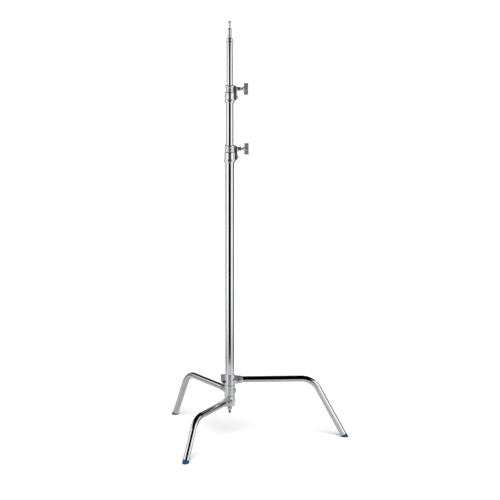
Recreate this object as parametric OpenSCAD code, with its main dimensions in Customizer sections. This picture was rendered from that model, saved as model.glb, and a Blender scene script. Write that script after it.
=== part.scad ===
// Three-section lighting stand on a low base with one fixed and two folding legs.
// Millimetres, +Z up, floor at z = 0. The origin is the middle of the footprint's box.

/* [Column] */
// Outside diameter of the fixed base column
base_d = 35; // [34:0.5:36]
// Wall of the base column
base_wall = 2; // [2:0.1:2]
// Outside diameter of the lower riser
riser_1_d = 30; // [30:0.5:30]
// Outside diameter of the upper riser
riser_2_d = 25; // [25:0.5:25]
// Wall of both risers
riser_wall = 1.5; // [1.5:0.1:1.5]
// Height of the top face of the lower locking collar
collar_1_z = 1215; // [1100:5:1300]
// Height of the top face of the upper locking collar
collar_2_z = 1455; // [1450:5:1700]
// Height of the top face of the cap on the upper riser
cap_z = 1641; // [1635:5:1900]

/* [Spigot] */
// Diameter of the mounting stud
stud_d = 16; // [15.8:0.1:16]
// Length of the mounting stud above the cap
stud_h = 37; // [30:1:45]
// Height of the necked tip above the stud
tip_h = 29; // [24:1:34]

/* [Legs] */
// Outside diameter of the leg tubes
leg_d = 25; // [24:0.5:25]
// Wall of the leg tubes
leg_wall = 2; // [1.5:0.25:2.5]
// Height of the top leg's axis above the floor
leg_z = 250; // [245:1:260]
// Vertical distance between one leg and the next
leg_pitch = 44; // [43:0.5:48]
// Radius from the column to the top leg's corner
leg_reach = 340; // [320:5:400]
// How much shorter each lower leg reaches, so the folded legs nest
leg_step = 21.5; // [20:0.5:24]
// Centreline radius of the leg bends
bend_r = 80; // [60:5:90]
// Slope of the legs' lower runs, from the horizontal
leg_slope = 61.6; // [58:0.1:66]

/* [Locking knobs] */
// Turn of the T-handle's bar away from upright, lower knob
knob_1_angle = 0; // [-90:5:90]
// Turn of the T-handle's bar away from upright, upper knob
knob_2_angle = 0; // [-90:5:90]
// Length of the T-handle's bar
t_bar_h = 46; // [40:1:52]
// Width of the T-handle's bar
t_bar_w = 17; // [15:1:18]

/* [Hidden] */
$fn = 64;
cut = 1;          // how far a cutting tool runs past the face it opens
run_gap = 0.05;   // radial running clearance

// Colours
chrome = [0.80, 0.81, 0.83];
casting = [0.68, 0.69, 0.71];
dark_steel = [0.35, 0.36, 0.38];
brass = [0.80, 0.63, 0.30];
nylon = [0.20, 0.20, 0.22];
blue = [0.04, 0.20, 0.42];

// Leg layout. Leg 0 is the fixed top leg, 1 and 2 fold under it.
leg_angles = [0, 120, -120];
function leg_height(i) = leg_z - i * leg_pitch;
function leg_corner(i) = leg_reach - i * leg_step;
function foot_radius(i) = leg_corner(i) + leg_height(i) / tan(leg_slope);
column_x = -(foot_radius(0) + foot_radius(1) * cos(leg_angles[1])) / 2;
column_y = -(foot_radius(1) - foot_radius(2)) * sin(leg_angles[1]) / 2;

// Hubs
hub_h = 42.6;
hub_wall = 4;
hub_r = base_d / 2 + hub_wall;
hub_bore_r = base_d / 2 + run_gap;
socket_end = 52;      // radius at which a leg leaves its socket
socket_tip_r = leg_d / 2 + 2.2;
socket_root_r = hub_h / 2 - 1.8;
leg_start = 25;       // radius at which a leg tube begins, inside its socket
rivet_x = 36;
rivet_r = 4;
rivet_head_r = 5.5;
rivet_head_h = 2.2;
rivet_half = 14.8;    // from the leg's axis to the flats under the rivet's heads
washer_h = leg_pitch - hub_h - 0.3;
bend_lap = 1;
bend_draw = 0.2;
ear_x = 37;
ear_half = 10.5;
slit = 3;
bolt_x = 24.8;
bolt_z = leg_z - 7;
bolt_r = 3;
detent_boss_x = 26;
detent_boss_r = 11;
boss_bearing = -35;     // from the top leg, towards the front
grease_bearing = -82;   // the small grease hole in the upper folding hub
grease_z = 6;
grease_r = 1.6;
detent_r = 4;

// Column ends
column_bottom = leg_height(2) - 12.5;
hub_floor_top = column_bottom - 0.5;
hub_bottom = hub_floor_top - 12;
spring_seat_r = 9.5;
spring_seat_z = hub_bottom + 8;
stud_r = 3;
cone_top = hub_bottom - 4;
cone_h = 12;
nut_h = 13;

// Feet
foot_seat = 11.5;     // height of the middle of each leg tube's square-cut end
foot_r = leg_d / 2 + 0.9;
plug_len = 24;

// Collars: heights are measured down from the collar's top face
collar_h = 70;
bead_h = 9.5;
neck_end = 29;
sleeve_end = 57;
tube_stop = 47;       // where the tube that carries the collar ends
bush_h = 18;
knob_drop = 16;
screw_drop = 49.5;
block_h = 62;
block_half = 10;
shoe_r = 6;
shoe_t = 5;
shoe_travel = 3;      // two turns of a 1.5 mm thread
screw_r = 4;

// Riser ends
guide_h = 30;
shank_r = 9;
flange_h = 4;
plug_h = 25;
plug_top = column_bottom + 20;
riser_1_bottom = plug_top + 1 + flange_h + guide_h + (collar_2_z - collar_h - collar_1_z);
riser_1_top = collar_2_z - tube_stop;
stud_shoulder_r = stud_d / 2 + 0.5;    // the stud's shoulder inside the cap
cap_h = 19;
riser_2_bottom = riser_1_bottom + plug_h + 2 + flange_h + guide_h + (cap_z - cap_h - collar_2_z);
riser_2_top = cap_z - 5;
pin_z = riser_2_top - 31;

module at_column() {
    translate([column_x, column_y, 0]) children();
}

module at_leg(i) {
    at_column() rotate([0, 0, leg_angles[i]]) translate([0, 0, leg_height(i)]) children();
}

// A tube between two heights
module tube(r_out, r_in, z0, z1) {
    translate([0, 0, z0]) difference() {
        cylinder(r = r_out, h = z1 - z0);
        translate([0, 0, -cut]) cylinder(r = r_in, h = z1 - z0 + 2 * cut);
    }
}

// A rod along +X from x0 to x1, tapered if r1 is given
module x_rod(r, x0, x1, r1) {
    translate([x0, 0, 0]) rotate([0, 90, 0]) cylinder(r1 = r, r2 = is_undef(r1) ? r : r1, h = x1 - x0);
}

// A rod along Y, centred on the XZ plane
module y_rod(r, w) {
    rotate([90, 0, 0]) cylinder(r = r, h = w, center = true);
}

// ---- column ----

module base_column() {
    color(chrome) at_column()
        tube(base_d / 2, base_d / 2 - base_wall, column_bottom, collar_1_z - tube_stop);
}

// Plug in the foot of the column, tapped for the hub stud
module column_plug() {
    color(dark_steel) at_column()
        tube(base_d / 2 - base_wall, stud_r, column_bottom, plug_top);
}

// Cast collar: beads, neck and sleeve round a riser, with a block and barrel for the knob
module collar(tube_r, riser_r, z_top) {
    bead_r = riser_r + 5.5;
    neck_r = riser_r + 3;
    sleeve_r = tube_r + 3.3;
    skirt_r = tube_r + 5.3;
    block_x = riser_r + 15.5;
    barrel_x = riser_r + 32;
    translate([0, 0, z_top]) difference() {
        union() {
            rotate_extrude() polygon([
                [0, 0], [bead_r - 2.5, 0], [bead_r - 0.5, -2], [bead_r, -4.5], [bead_r - 0.8, -7.5],
                [neck_r, -bead_h], [neck_r, -neck_end + 2], [sleeve_r, -neck_end], [sleeve_r, -sleeve_end + 2],
                [skirt_r, -sleeve_end - 2], [skirt_r, -collar_h + 4], [skirt_r - 2.5, -collar_h],
                [0, -collar_h]
            ]);
            rotate([90, 0, 0]) linear_extrude(2 * block_half, center = true) polygon([
                [0, -3], [bead_r - 1, -1], [block_x - 3, -4], [block_x, -8], [block_x, -block_h + 8],
                [block_x - 3, -block_h + 2], [block_x - 8, -block_h], [0, -block_h]
            ]);
            translate([0, 0, -knob_drop]) x_rod(9, block_x - 6, block_x + 5, 7.8);
            translate([0, 0, -knob_drop]) x_rod(7.8, block_x + 5, barrel_x);
        }
        translate([0, 0, -tube_stop + bush_h]) cylinder(r = riser_r + 0.3, h = tube_stop + cut);
        translate([0, 0, -collar_h - cut]) cylinder(r = tube_r, h = collar_h - tube_stop + bush_h + cut);
        translate([0, 0, -knob_drop]) x_rod(shoe_r + 0.2, 0, riser_r + shoe_t + shoe_travel + 1);
        translate([0, 0, -knob_drop]) x_rod(screw_r + run_gap, 0, barrel_x + cut);
        translate([0, 0, -screw_drop]) x_rod(3, 0, block_x + cut);
    }
}

module collar_bush(tube_r, riser_r, z_top) {
    tube(tube_r, riser_r + run_gap, z_top - tube_stop, z_top - tube_stop + bush_h);
}

// Screw that holds a collar to its tube: dome head outside, point against the tube
module collar_screw(tube_r, riser_r, z_top) {
    head_x = riser_r + 15.5;
    head_r = 8;
    translate([0, 0, z_top - screw_drop]) {
        x_rod(3, tube_r, head_x);
        translate([head_x, 0, 0]) rotate([0, 90, 0]) rotate_extrude() intersection() {
            translate([0, 5 - 10.5]) circle(r = 10.5);
            square([head_r, 5]);
        }
    }
}

module collar_1() {
    color(casting) at_column() collar(base_d / 2, riser_1_d / 2, collar_1_z);
}

module collar_1_bush() {
    color(nylon) at_column() collar_bush(base_d / 2, riser_1_d / 2, collar_1_z);
}

module collar_1_screw() {
    color(chrome) at_column() collar_screw(base_d / 2, riser_1_d / 2, collar_1_z);
}

module collar_2() {
    color(casting) at_column() collar(riser_1_d / 2, riser_2_d / 2, collar_2_z);
}

module collar_2_bush() {
    color(nylon) at_column() collar_bush(riser_1_d / 2, riser_2_d / 2, collar_2_z);
}

module collar_2_screw() {
    color(chrome) at_column() collar_screw(riser_1_d / 2, riser_2_d / 2, collar_2_z);
}

// ---- risers ----

module riser_1() {
    color(chrome) at_column()
        tube(riser_1_d / 2, riser_1_d / 2 - riser_wall, riser_1_bottom, riser_1_top);
}

module riser_2() {
    color(chrome) at_column() difference() {
        tube(riser_2_d / 2, riser_2_d / 2 - riser_wall, riser_2_bottom, riser_2_top);
        translate([0, 0, pin_z]) y_rod(2.5, riser_2_d + 2 * cut);
    }
}

// Plug in the foot of a riser: its shank carries the guide ring, its flange keeps it on
module riser_plug(bore_r, z) {
    translate([0, 0, z]) cylinder(r = bore_r, h = plug_h);
    translate([0, 0, z - guide_h]) cylinder(r = shank_r, h = guide_h);
    translate([0, 0, z - guide_h - flange_h]) cylinder(r = shank_r + 1.8, h = flange_h);
}

// Ring that guides a riser's foot inside the tube round it and stops it under the collar's bush
module riser_guide(outer_bore_r, z) {
    tube(outer_bore_r - run_gap, shank_r + run_gap, z - guide_h + 0.1, z - 0.1);
}

module riser_1_plug() {
    color(nylon) at_column() riser_plug(riser_1_d / 2 - riser_wall, riser_1_bottom);
}

module riser_1_guide() {
    color(nylon) at_column() riser_guide(base_d / 2 - base_wall, riser_1_bottom);
}

module riser_2_plug() {
    color(nylon) at_column() riser_plug(riser_2_d / 2 - riser_wall, riser_2_bottom);
}

module riser_2_guide() {
    color(nylon) at_column() riser_guide(riser_1_d / 2 - riser_wall, riser_2_bottom);
}

// ---- top ----

module top_cap() {
    color(casting) at_column() translate([0, 0, cap_z]) difference() {
        rotate_extrude() polygon([
            [0, 0], [10, 0], [11.5, -1.5], [14.6, -9], [14.8, -12.5],
            [16, -14], [16, -18], [15, -cap_h], [0, -cap_h]
        ]);
        translate([0, 0, -cap_h - cut]) cylinder(r = riser_2_d / 2, h = cap_h - 5 + cut);
        translate([0, 0, -cap_h]) cylinder(r = stud_shoulder_r, h = cap_h + cut);
    }
}

module spigot() {
    root_h = 46;
    r = stud_d / 2;
    color(chrome) at_column() difference() {
        translate([0, 0, riser_2_top]) rotate_extrude() polygon([
            [0, -root_h], [riser_2_d / 2 - riser_wall - 1.5, -root_h],
            [riser_2_d / 2 - riser_wall, -root_h + 1.5], [riser_2_d / 2 - riser_wall, 0],
            [stud_shoulder_r, 0], [stud_shoulder_r, 5], [r, 5], [r, 5 + stud_h - 2], [r - 2, 5 + stud_h],
            [4.2, 5 + stud_h + 1], [4.2, 5 + stud_h + tip_h - 10],
            [6, 5 + stud_h + tip_h - 8.5], [6, 5 + stud_h + tip_h - 2.5],
            [3.5, 5 + stud_h + tip_h], [0, 5 + stud_h + tip_h]
        ]);
        translate([0, 0, pin_z]) y_rod(2.5, riser_2_d);
    }
}

module spigot_pin() {
    color(dark_steel) at_column() translate([0, 0, pin_z]) intersection() {
        y_rod(2.5, riser_2_d);
        translate([0, 0, -4]) cylinder(r = riser_2_d / 2, h = 8);
    }
}

// ---- knobs ----

// Brass shoe that the knob's screw presses on the riser
module brake_shoe(riser_r, z_top) {
    translate([0, 0, z_top - knob_drop]) difference() {
        x_rod(shoe_r, riser_r - 3, riser_r + shoe_t);
        translate([0, 0, -2 * shoe_r]) cylinder(r = riser_r + run_gap, h = 4 * shoe_r);
    }
}

module knob_screw(riser_r, z_top) {
    translate([0, 0, z_top - knob_drop])
        x_rod(screw_r, riser_r + shoe_t + 0.1, riser_r + 45);
}

// T-handle: hub with a flared neck and two ribbed wings
module knob(riser_r, z_top, angle) {
    x0 = riser_r + 34.5;
    bar_x = riser_r + 44;
    wing_h = t_bar_h / 2 - 6;
    translate([0, 0, z_top - knob_drop]) rotate([angle, 0, 0]) difference() {
        union() {
            x_rod(6, x0, x0 + 3, 6.5);
            x_rod(6.5, x0 + 3, bar_x + 0.5, 9);
            x_rod(9, bar_x + 0.5, bar_x + t_bar_w - 2);
            x_rod(9, bar_x + t_bar_w - 2, bar_x + t_bar_w - 0.5, 7.5);
            for (side = [0, 180]) rotate([side, 0, 0]) {
                translate([bar_x, -6, 4]) cube([t_bar_w, 12, wing_h + 2]);
                for (k = [0:2]) translate([bar_x - 0.7, -6.7, 9 + k * 5]) cube([t_bar_w + 0.7, 13.4, 2.4]);
            }
        }
        x_rod(screw_r, x0 - cut, riser_r + 45);
    }
}

module brake_shoe_1() {
    color(brass) at_column() brake_shoe(riser_1_d / 2, collar_1_z);
}

module knob_1() {
    color(casting) at_column() knob(riser_1_d / 2, collar_1_z, knob_1_angle);
}

module knob_1_screw() {
    color(dark_steel) at_column() knob_screw(riser_1_d / 2, collar_1_z);
}

module brake_shoe_2() {
    color(brass) at_column() brake_shoe(riser_2_d / 2, collar_2_z);
}

module knob_2() {
    color(casting) at_column() knob(riser_2_d / 2, collar_2_z, knob_2_angle);
}

module knob_2_screw() {
    color(dark_steel) at_column() knob_screw(riser_2_d / 2, collar_2_z);
}

// ---- hubs, each drawn with its leg along +X and its middle at z = 0 ----

module hub_outside() {
    translate([0, 0, -hub_h / 2]) cylinder(r = hub_r, h = hub_h);
    x_rod(socket_root_r, 4, socket_end - 1.5, socket_tip_r);
    x_rod(socket_tip_r, socket_end - 1.5, socket_end, socket_tip_r - 1.2);
}

module column_bore(r, z0) {
    translate([0, 0, z0]) cylinder(r = r, h = hub_h + 2 * cut);
}

// The leg's socket, the rivet's hole and the flats under its heads
module socket_bores() {
    x_rod(leg_d / 2, leg_start, socket_end + cut);
    translate([rivet_x, 0, 0]) {
        y_rod(rivet_r, 2 * hub_h);
        for (side = [-1, 1])
            translate([0, side * (rivet_half + 5), 0]) y_rod(rivet_head_r + 0.6, 10);
    }
}

// Fixed hub: split clamp ears opposite the leg, closed by the pinch bolt
module top_hub() {
    mid = leg_height(0);
    color(casting) at_leg(0) difference() {
        union() {
            hub_outside();
            rotate([90, 0, 0]) linear_extrude(2 * ear_half, center = true) polygon([
                [-hub_r + 6, hub_h / 2], [-ear_x + 2, hub_h / 2], [-ear_x, hub_h / 2 - 2],
                [-ear_x, -4], [-ear_x + 6, -13], [-hub_r, -hub_h / 2 + 3], [-hub_r + 6, -hub_h / 2 + 3]
            ]);
        }
        column_bore(base_d / 2, -hub_h / 2 - cut);
        socket_bores();
        translate([-ear_x - cut, -slit / 2, -hub_h / 2 - cut]) cube([ear_x, slit, hub_h + 2 * cut]);
        translate([-bolt_x, 0, bolt_z - mid]) y_rod(bolt_r, 4 * ear_half);
    }
}

module hub_bolt() {
    color(dark_steel) at_column() translate([-bolt_x, 0, bolt_z]) rotate([90, 0, 0]) {
        translate([0, 0, -ear_half - 8]) cylinder(r = bolt_r, h = 2 * ear_half + 8);
        difference() {
            translate([0, 0, ear_half]) cylinder(r = 5, h = 5);
            translate([0, 0, ear_half + 2]) cylinder(r = 2.9, h = 5, $fn = 6);
        }
    }
}

module hub_nut() {
    color(dark_steel) at_column() translate([-bolt_x, ear_half, bolt_z]) rotate([-90, 0, 0]) difference() {
        cylinder(r = 5.77, h = 5, $fn = 6);
        translate([0, 0, -cut]) cylinder(r = bolt_r, h = 5 + 2 * cut);
    }
}

// Folding hub with a boss for its detent plunger and a grease hole
module mid_hub() {
    color(casting) at_leg(1) difference() {
        union() {
            hub_outside();
            rotate([0, 0, boss_bearing - leg_angles[1]]) {
                x_rod(detent_boss_r, hub_r - 6, detent_boss_x - 2);
                x_rod(detent_boss_r, detent_boss_x - 2, detent_boss_x, detent_boss_r - 2);
            }
        }
        column_bore(hub_bore_r, -hub_h / 2 - cut);
        socket_bores();
        rotate([0, 0, boss_bearing - leg_angles[1]]) x_rod(detent_r, 0, detent_boss_x + cut);
        rotate([0, 0, grease_bearing - leg_angles[1]]) translate([0, 0, grease_z]) x_rod(grease_r, 0, hub_r + cut);
    }
}

// Lowest hub: closed below, with a seat for the spring that keeps the hubs together
module bottom_hub() {
    mid = leg_height(2);
    low = hub_bottom - mid;
    color(casting) at_leg(2) difference() {
        union() {
            hub_outside();
            rotate_extrude() polygon([
                [0, low], [13, low], [18, low + 4], [hub_r - 0.6, low + 9], [hub_r, low + 12], [0, low + 12]
            ]);
        }
        column_bore(hub_bore_r, hub_floor_top - mid);
        socket_bores();
        translate([0, 0, low - cut]) cylinder(r = spring_seat_r, h = spring_seat_z - hub_bottom + cut);
        translate([0, 0, low - cut]) cylinder(r = stud_r + 0.3, h = hub_h);
        rotate([0, 0, -leg_angles[2]]) x_rod(detent_r, 0, hub_r + cut);
    }
}

module hub_washers() {
    color(dark_steel) at_column() for (i = [0, 1])
        tube(hub_r - 0.5, base_d / 2, leg_height(i) - hub_h / 2 - 0.15 - washer_h, leg_height(i) - hub_h / 2 - 0.15);
}

// Spring plunger screwed into a folding hub, level with its leg
module detent(z, x_end, head_h) {
    nose = base_d / 2 + 0.3;
    translate([0, 0, z]) difference() {
        union() {
            x_rod(2, nose, nose + 1.5, detent_r - 0.5);
            x_rod(detent_r, nose + 1.5, x_end);
            x_rod(detent_r + 1, x_end, x_end + head_h);
        }
        x_rod(1.8, x_end + head_h - 1.6, x_end + head_h + cut);
    }
}

module mid_detent() {
    color(dark_steel) at_column() rotate([0, 0, boss_bearing]) detent(leg_height(1), detent_boss_x, 1.5);
}

module bottom_detent() {
    color(dark_steel) at_column() detent(leg_height(2), hub_r, 2);
}

// ---- legs ----

// The bent path of one leg as a solid rod; over lengthens both ends. Bending draws the tube a
// little slimmer, and the straight runs reach bend_lap into the bend.
module leg_path(i, r, over) {
    tangent = bend_r * tan(leg_slope / 2);
    corner = leg_corner(i);
    run = (leg_height(i) - foot_seat) / sin(leg_slope) - tangent;
    x_rod(r, leg_start - over, corner - tangent + bend_lap);
    translate([corner - tangent, 0, -bend_r]) {
        rotate([90, 0, 0]) rotate([0, 0, 90 - leg_slope])
            rotate_extrude(angle = leg_slope) translate([bend_r, 0]) circle(r = r - bend_draw);
        rotate([0, leg_slope, 0]) translate([0, 0, bend_r]) x_rod(r, -bend_lap, run + over);
    }
}

module leg(i) {
    difference() {
        leg_path(i, leg_d / 2, 0);
        leg_path(i, leg_d / 2 - leg_wall, cut);
        translate([rivet_x, 0, 0]) y_rod(rivet_r, 2 * leg_d);
    }
}

module top_leg() {
    color(chrome) at_leg(0) leg(0);
}

module mid_leg() {
    color(chrome) at_leg(1) leg(1);
}

module bottom_leg() {
    color(chrome) at_leg(2) leg(2);
}

// Rivet through a socket and the leg in it
module rivet() {
    translate([rivet_x, 0, 0]) {
        y_rod(rivet_r, 2 * rivet_half);
        for (side = [-1, 1]) translate([0, side * rivet_half, 0]) rotate([-90 * side, 0, 0])
            cylinder(r1 = rivet_head_r, r2 = rivet_r, h = rivet_head_h);
    }
}

module top_rivet() {
    color(dark_steel) at_leg(0) rivet();
}

module mid_rivet() {
    color(dark_steel) at_leg(1) rivet();
}

module bottom_rivet() {
    color(dark_steel) at_leg(2) rivet();
}

// Rubber foot: a plug inside the tube and a head cut level with the floor
module foot(i) {
    far = 40;
    intersection() {
        translate([leg_corner(i), 0, 0]) rotate([0, leg_slope, 0])
            translate([(leg_height(i) - foot_seat) / sin(leg_slope), 0, 0]) {
                x_rod(leg_d / 2 - leg_wall, -plug_len, 0);
                x_rod(foot_r, 0, far);
            }
        translate([0, -far, -leg_height(i)]) cube([foot_radius(i) + far, 2 * far, leg_height(i)]);
    }
}

module top_foot() {
    color(blue) at_leg(0) foot(0);
}

module mid_foot() {
    color(blue) at_leg(1) foot(1);
}

module bottom_foot() {
    color(blue) at_leg(2) foot(2);
}

// ---- under the hubs ----

module hub_stud() {
    color(dark_steel) at_column() translate([0, 0, cone_top - cone_h - 8])
        cylinder(r = stud_r, h = plug_top - cone_top + cone_h + 8);
}

// Ring of points round one station of the spring's wire
function coil_ring(a, z, r, wire_r, sides) = [
    for (s = [0:sides - 1])
        let (q = 360 * s / sides, d = r + wire_r * cos(q)) [d * cos(a), d * sin(a), z + wire_r * sin(q)]
];

module hub_spring() {
    wire_r = 0.9;
    coil_r = 7.2;
    sides = 8;
    steps = 20;
    turns = 4;
    low = cone_top + wire_r;
    high = spring_seat_z - 0.3 - wire_r;
    count = steps * turns;
    points = [
        for (k = [0:count]) each
            coil_ring(360 * k / steps, low + (high - low) * k / count, coil_r, wire_r, sides)
    ];
    sides_faces = [
        for (k = [0:count - 1], s = [0:sides - 1])
            let (a = k * sides, n = (s + 1) % sides) [a + s, a + sides + s, a + sides + n, a + n]
    ];
    ends = [[for (s = [0:sides - 1]) s], [for (s = [sides - 1:-1:0]) count * sides + s]];
    color(chrome) at_column() polyhedron(points, concat(sides_faces, ends));
}

module cone_washer() {
    color(casting) at_column() translate([0, 0, cone_top - cone_h]) difference() {
        union() {
            cylinder(r1 = 6.5, r2 = 10, h = cone_h - 3);
            translate([0, 0, cone_h - 3]) cylinder(r = 10, h = 3);
        }
        translate([0, 0, -cut]) cylinder(r = stud_r, h = cone_h + 2 * cut);
    }
}

module dome_nut() {
    top = cone_top - cone_h;
    color(dark_steel) at_column() translate([0, 0, top]) difference() {
        union() {
            translate([0, 0, -6]) cylinder(r = 5.77, h = 6, $fn = 6);
            translate([0, 0, -8.2]) sphere(r = 4.8);
        }
        translate([0, 0, -8]) cylinder(r = stud_r, h = 8 + cut);
    }
}

base_column();
column_plug();
collar_1();
collar_1_bush();
collar_1_screw();
riser_1();
riser_1_plug();
riser_1_guide();
collar_2();
collar_2_bush();
collar_2_screw();
riser_2();
riser_2_plug();
riser_2_guide();
top_cap();
spigot();
spigot_pin();
brake_shoe_1();
knob_1();
knob_1_screw();
brake_shoe_2();
knob_2();
knob_2_screw();
top_hub();
hub_bolt();
hub_nut();
mid_hub();
bottom_hub();
hub_washers();
mid_detent();
bottom_detent();
top_leg();
mid_leg();
bottom_leg();
top_rivet();
mid_rivet();
bottom_rivet();
top_foot();
mid_foot();
bottom_foot();
hub_stud();
hub_spring();
cone_washer();
dome_nut();
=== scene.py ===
"""Looks for the three-section lighting stand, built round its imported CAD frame. Metres, +Z up."""
import math

import bmesh
import bpy
from mathutils import Matrix, Vector


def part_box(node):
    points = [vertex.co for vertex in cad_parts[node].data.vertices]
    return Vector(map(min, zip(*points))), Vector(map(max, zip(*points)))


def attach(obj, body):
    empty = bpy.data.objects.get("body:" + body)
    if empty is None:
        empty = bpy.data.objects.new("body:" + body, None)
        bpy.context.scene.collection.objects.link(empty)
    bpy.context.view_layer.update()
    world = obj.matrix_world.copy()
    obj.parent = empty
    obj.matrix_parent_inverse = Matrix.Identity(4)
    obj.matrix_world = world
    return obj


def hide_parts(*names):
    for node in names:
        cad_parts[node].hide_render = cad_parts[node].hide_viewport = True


MM = 0.001
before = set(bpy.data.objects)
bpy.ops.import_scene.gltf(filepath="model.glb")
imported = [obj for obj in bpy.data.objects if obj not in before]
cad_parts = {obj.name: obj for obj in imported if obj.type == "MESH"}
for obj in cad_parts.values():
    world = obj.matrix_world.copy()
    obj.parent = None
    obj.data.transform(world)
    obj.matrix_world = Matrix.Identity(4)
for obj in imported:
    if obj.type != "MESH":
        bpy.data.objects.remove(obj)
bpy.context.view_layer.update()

# ---- column and risers: sizes shared with the design ----
COLUMN = sum(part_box("base_column"), Vector()) / 2
COLUMN.z = 0
BASE_R, BASE_WALL = 17.5 * MM, 2 * MM
RISER_R = {1: 15 * MM, 2: 12.5 * MM}
RISER_WALL = 1.5 * MM
STUD_R = 8 * MM
SLIP = 0.05 * MM      # running gap between a moving piece and what it slides or turns on
EDGE = 0.4 * MM       # broken edges of tubes and bushes

# ---- locking collars, 1 on the column and 2 on the lower riser ----
COLLAR_TOP = {i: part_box(f"collar_{i}")[1].z for i in (1, 2)}
COLLAR_BODY = {1: "stand", 2: "riser_1"}
COLLAR_TUBE_R = {1: BASE_R, 2: RISER_R[1]}
COLLAR_BLOCK = {i: RISER_R[i] + 15.5 * MM for i in (1, 2)}    # reach of the block on its side
COLLAR_H = 70 * MM
KNOB_DROP, SCREW_DROP = 16 * MM, 49.5 * MM
SCREW_R, SCREW_PITCH = 4 * MM, 1.5 * MM
SCREW_END = {i: RISER_R[i] + 45 * MM for i in (1, 2)}         # where a T-handle holds its screw

# ---- legs and hubs, from the top one down ----
LEG_NAMES = ["top", "mid", "bottom"]
LEG_BODY = ["stand", "mid_leg", "bottom_leg"]
LEG_ANGLES = [0, 120, -120]
LEG_R, LEG_WALL = 12.5 * MM, 2 * MM
LEG_SLOPE = math.radians(61.6)
LEG_Z = [(250 - 44 * i) * MM for i in range(3)]
LEG_CORNER = [(340 - 21.5 * i) * MM for i in range(3)]
LEG_START = 25 * MM
BEND_R, BEND_STEPS = 80 * MM, 28
FOOT_SEAT = 11.5 * MM
HUB_H, HUB_R = 42.6 * MM, 21.5 * MM
SOCKET_END = 52 * MM
EAR_HALF = 10.5 * MM                          # half the thickness of the clamp ears together
RIVET_X, RIVET_HALF = 36 * MM, 14.8 * MM
GREASE_TURN = Matrix.Rotation(math.radians(-82), 4, "Z")    # bearing of the upper folding hub's grease hole

# ---- detent plungers, 1 in the upper and 2 in the lower folding hub ----
DETENT_TURN = {1: Matrix.Rotation(math.radians(-35), 4, "Z"), 2: Matrix.Identity(4)}
DETENT_SEAT = {1: 26 * MM, 2: HUB_R}
DETENT_HEAD = {1: 1.5 * MM, 2: 2 * MM}

# ---- what is under the hubs ----
CONE_H = 12 * MM

# ---- how castings are made ----
CAST_VOXEL, HANDLE_VOXEL = 0.6 * MM, 0.45 * MM
OVER = 1 * MM         # how far a cutting tool reaches past what it cuts

# ---- the angles in degrees past which an edge is shaded sharp ----
TURNED_SHARP, CAST_SHARP, THREAD_SHARP, NUT_SHARP = 38, 50, 60, 25

# ---- camera, fitted to the photograph ----
CAMERA_TURN, CAMERA_PITCH = math.radians(-3.07), math.radians(11.15)
CAMERA_REACH, CAMERA_Z = 7.679, 2.302
CAMERA_LENS, CAMERA_SENSOR, CAMERA_SHIFT = 139.9, 36, 0.0406
CAMERA_CLIP = 200

# ---- light and surroundings, metres ----
SKY_STRENGTH = 0.30
SUN_STRENGTH, SUN_SPREAD = 4.7, math.radians(48)
SUN_DIRECTION = Vector((-0.04, 0.95, -1))
FLOOR_REACH = 90.0
FLOOR_GREY, FLOOR_ROUGHNESS = 0.86, 0.9
BACKDROP_RADIUS, BACKDROP_HEIGHT, BACKDROP_FOOT = 80.0, 60.0, -1.0
ROOM_RADIUS, ROOM_HEIGHT, ROOM_FOOT = 6.0, 6.0, -0.01
ROOM_FLOOR_LIFT = 0.3 * MM
STAGE_SIDES = 64

# The room's walls: brightness at bearings in degrees round the column, 0 on the camera's side and
# +90 on its right. The low part fades out above head height, the high part is a band at the sides.
LOW_WALL = [
    (-180, 0.50), (-160, 0.35), (-140, 0.20), (-112, 0.28), (-102, 0.70), (-76, 0.75), (-66, 1.15),
    (-38, 1.20), (-32, 0.70), (-28, 0.0), (29, 0.0), (33, 0.55), (40, 1.0), (60, 1.05), (86, 1.05),
    (93, 0.15), (105, 0.05), (145, 0.08), (160, 0.30), (180, 0.50),
]
HIGH_WALL = [
    (-180, 0), (-132, 0), (-118, 1.05), (-55, 1.05), (-40, 0),
    (40, 0), (55, 1.05), (104, 1.05), (112, 0), (180, 0),
]
LOW_FADE = (1.9, 2.6)
HIGH_START, HIGH_END = (1.5, 2.1), (4.4, 5.2)

# The room's floor: brightness at distances from the column, and how much of the low wall's pattern
# it takes on there. The pattern itself brightens outward.
FLOOR_LEVELS = [(0.45, 0.44), (0.56, 0.64), (0.78, 0.62), (0.86, 0.34), (0.98, 0.10), (1.25, 0.04)]
FLOOR_PATTERN = [(0.6, 0.08), (0.76, 0.18), (0.86, 0.52), (0.97, 0.72), (1.27, 0.88), (1.7, 1.0)]
FLOOR_STOPS_REACH = 3.0
PATTERN_START, PATTERN_END, PATTERN_START_LEVEL = 1.3, 2.4, 0.8

# ---- Blender's numbers for the sockets of a colour mix ----
MIX_A, MIX_B, MIX_RESULT = 6, 7, 2

TO_X = Matrix.Rotation(math.radians(90), 4, "Y")      # turns a lathe's axis from +Z to +X
TO_FRONT = Matrix.Rotation(math.radians(90), 4, "X")  # turns it to -Y
TO_BACK = Matrix.Rotation(math.radians(-90), 4, "X")  # turns it to +Y


def at(x=0.0, y=0.0, z=0.0):
    """A place in the stand's frame."""
    return Matrix.Translation((x, y, z))


def at_column(z=0.0):
    """On the column's axis."""
    return at(COLUMN.x, COLUMN.y, z)


def at_leg(i):
    """On the column's axis at a hub's middle, with +X along its leg."""
    return at_column(LEG_Z[i]) @ Matrix.Rotation(math.radians(LEG_ANGLES[i]), 4, "Z")


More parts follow.
